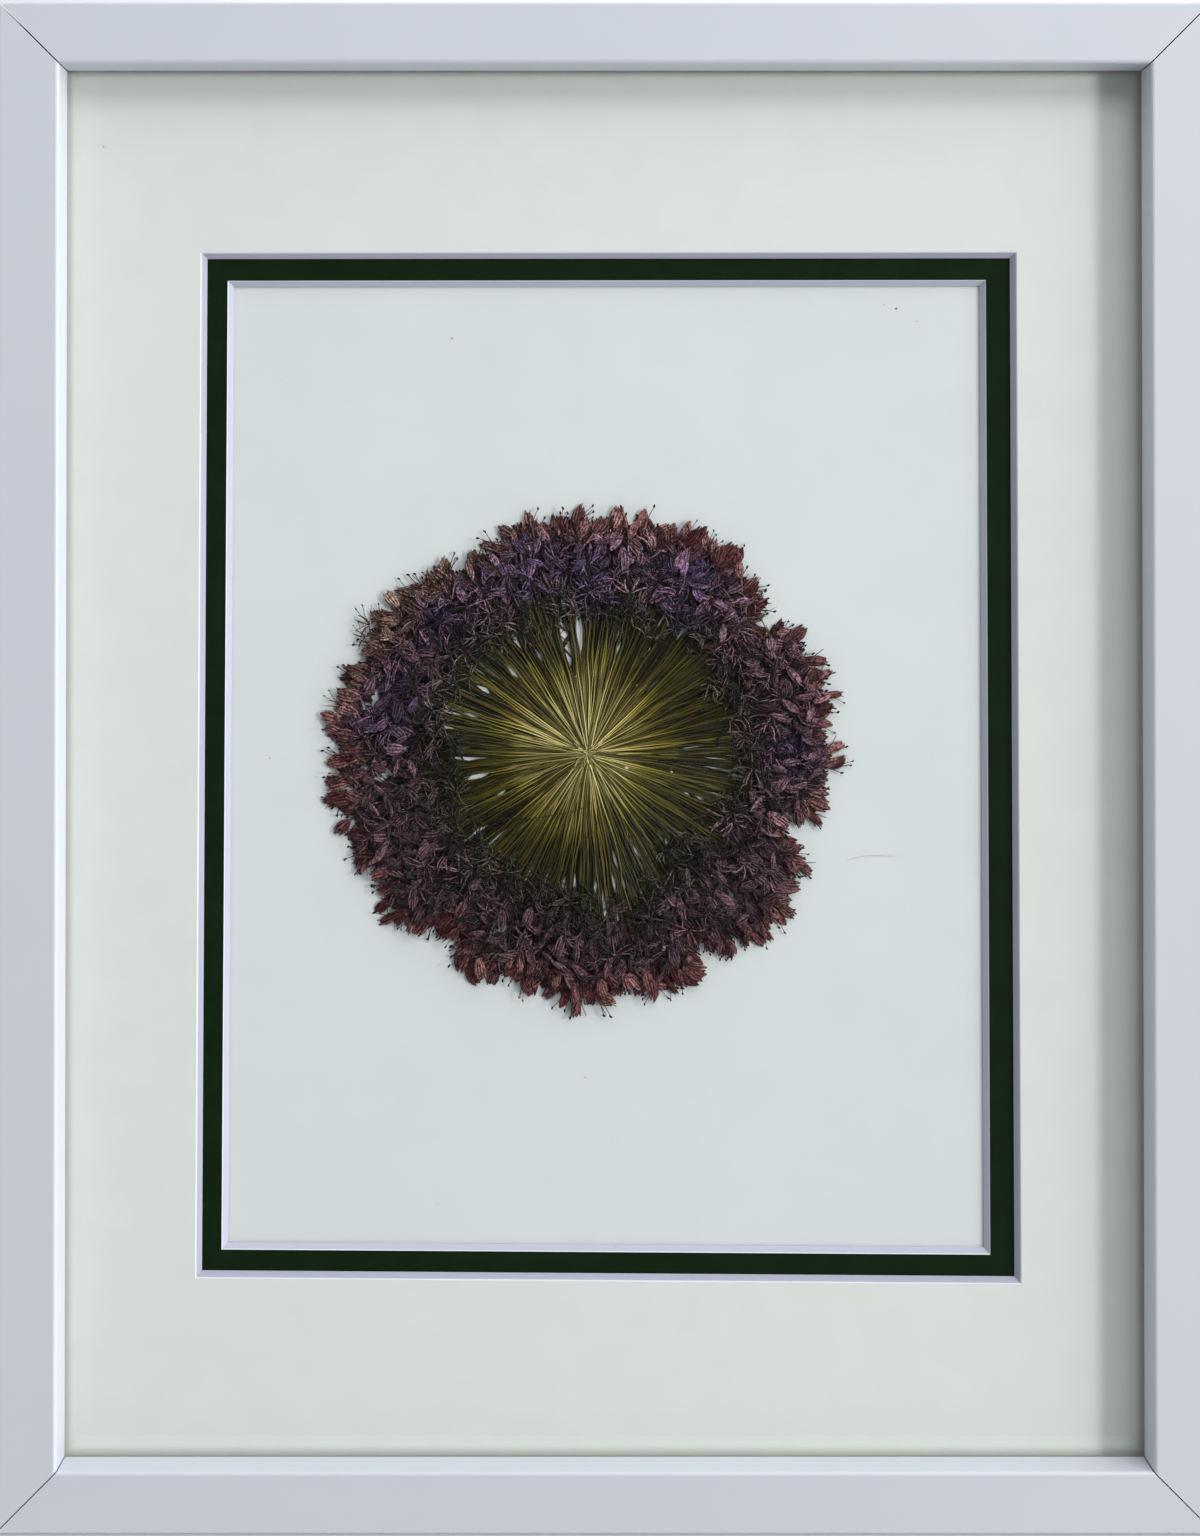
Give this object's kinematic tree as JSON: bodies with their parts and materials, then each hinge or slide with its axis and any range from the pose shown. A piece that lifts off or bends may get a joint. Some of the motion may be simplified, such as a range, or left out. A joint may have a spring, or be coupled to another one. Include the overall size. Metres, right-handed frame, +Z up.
{
  "type": "pressed flower frame",
  "caption": "Pressed flower head with radiating stalks and a ring of dark florets, under glass in a white wooden wall frame with a double mat.",
  "frame": {"origin": "the middle notch of the sawtooth hanger, on the plane of the rails' backs", "axes": "as it hangs: it faces -Y, +Z is up, +X is to the right as seen from the front"},
  "size_m": [0.2968, 0.0245, 0.3729],
  "materials": {
    "white_paint": "satin white paint on wood",
    "clear_glass": "clear picture glass",
    "cream_board": "matt off-white mat board with a white core",
    "green_board": "matt dark green mat board with a white core",
    "white_card": "matt white card",
    "hardboard": "raw brown hardboard",
    "dry_stalk": "dry straw to olive stalks",
    "dry_floret": "dry dark purple-brown petals",
    "point_steel": "thin bare steel",
    "brassed_steel": "brass-plated steel strip",
    "bumper_rubber": "soft dark rubber"
  },
  "bodies": {
    "root": {"rail_top": "white_paint", "rail_right": "white_paint", "rail_bottom": "white_paint", "rail_left": "white_paint", "glass": "clear_glass", "mat_cream": "cream_board", "mat_green": "green_board", "specimen_card": "white_card", "backing_board": "hardboard", "flower_stalks": "dry_stalk", "flower_florets": "dry_floret", "retaining_point_01": "point_steel", "retaining_point_02": "point_steel", "retaining_point_03": "point_steel", "retaining_point_04": "point_steel", "retaining_point_05": "point_steel", "retaining_point_06": "point_steel", "retaining_point_07": "point_steel", "retaining_point_08": "point_steel", "retaining_point_09": "point_steel", "retaining_point_10": "point_steel", "hanger": "brassed_steel", "hanger_nail_left": "point_steel", "hanger_nail_right": "point_steel", "bumper_left": "bumper_rubber", "bumper_right": "bumper_rubber"}
  },
  "joints": []
}
